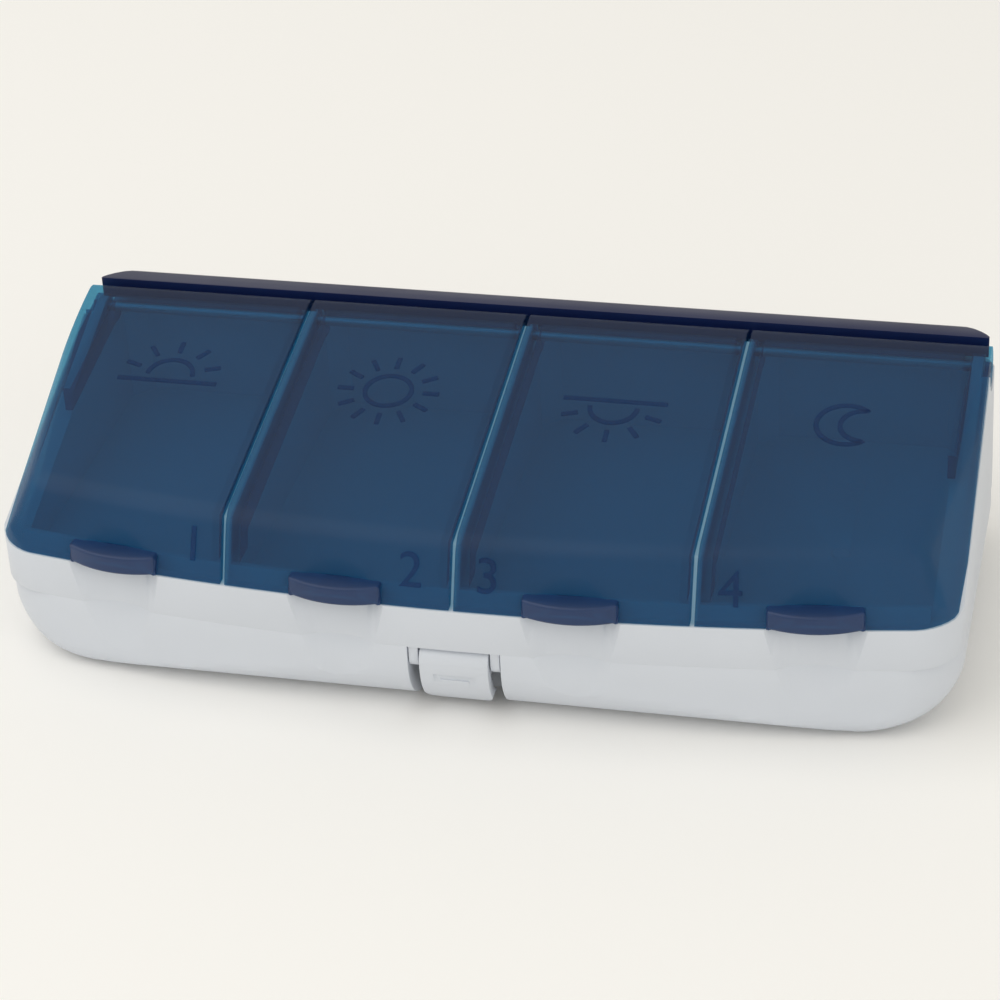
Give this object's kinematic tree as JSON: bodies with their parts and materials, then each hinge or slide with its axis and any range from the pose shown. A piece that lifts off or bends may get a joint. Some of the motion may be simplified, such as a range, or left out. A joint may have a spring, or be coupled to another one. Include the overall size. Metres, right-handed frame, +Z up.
{
  "type": "pill splitter",
  "caption": "Pill box with hinged translucent lids over a latched lower case that holds a swing-down blade pill splitter.",
  "frame": {"origin": "middle of the flat resting face under the lower case", "axes": "+X along the length to the right, -Y towards the front with the latch and finger tabs, +Z up"},
  "size_m": [0.15, 0.0708, 0.0386],
  "materials": {
    "white_abs": "satin moulded ABS",
    "grey_abs": "satin moulded ABS",
    "blue_pp": "translucent dark blue polypropylene, satin",
    "steel": "drawn wire and turned screws",
    "blade_steel": "ground stainless strip",
    "soft_pad": "soft moulded elastomer"
  },
  "bodies": {
    "base": {"base_case": "white_abs", "pill_nest": "grey_abs", "nest_pad_left": "soft_pad", "nest_pad_right": "soft_pad", "nest_screws": "steel", "case_hinge_pin_left": "steel", "case_hinge_pin_right": "steel"},
    "tray_body": {"tray": "white_abs", "hinge_rail": "blue_pp", "lid_hinge_pin": "steel", "latch_pin": "steel", "blade": "blade_steel", "blade_holder": "white_abs", "blade_clamp": "white_abs", "blade_screws": "steel"},
    "lid_one": {"lid_1": "blue_pp"},
    "lid_two": {"lid_2": "blue_pp"},
    "lid_three": {"lid_3": "blue_pp"},
    "lid_four": {"lid_4": "blue_pp"},
    "latch_lever": {"latch": "white_abs"}
  },
  "joints": [
    {"name": "case_open", "type": "hinge", "parent": "base", "child": "tray_body", "pos_m": [0, 0.0339, 0.013], "axis": [-1, 0, 0], "range_deg": [0, 100]},
    {"name": "lid_1_open", "type": "hinge", "parent": "tray_body", "child": "lid_one", "pos_m": [0, 0.0242, 0.03532], "axis": [-1, 0, 0], "range_deg": [0, 100]},
    {"name": "lid_2_open", "type": "hinge", "parent": "tray_body", "child": "lid_two", "pos_m": [0, 0.0242, 0.03532], "axis": [-1, 0, 0], "range_deg": [0, 100]},
    {"name": "lid_3_open", "type": "hinge", "parent": "tray_body", "child": "lid_three", "pos_m": [0, 0.0242, 0.03532], "axis": [-1, 0, 0], "range_deg": [0, 100]},
    {"name": "lid_4_open", "type": "hinge", "parent": "tray_body", "child": "lid_four", "pos_m": [0, 0.0242, 0.03532], "axis": [-1, 0, 0], "range_deg": [0, 100]},
    {"name": "latch_swing", "type": "hinge", "parent": "tray_body", "child": "latch_lever", "pos_m": [0, -0.03155, 0.0105], "axis": [-1, 0, 0], "range_deg": [0, 20], "stiffness_Nm_per_rad": 0.002}
  ]
}
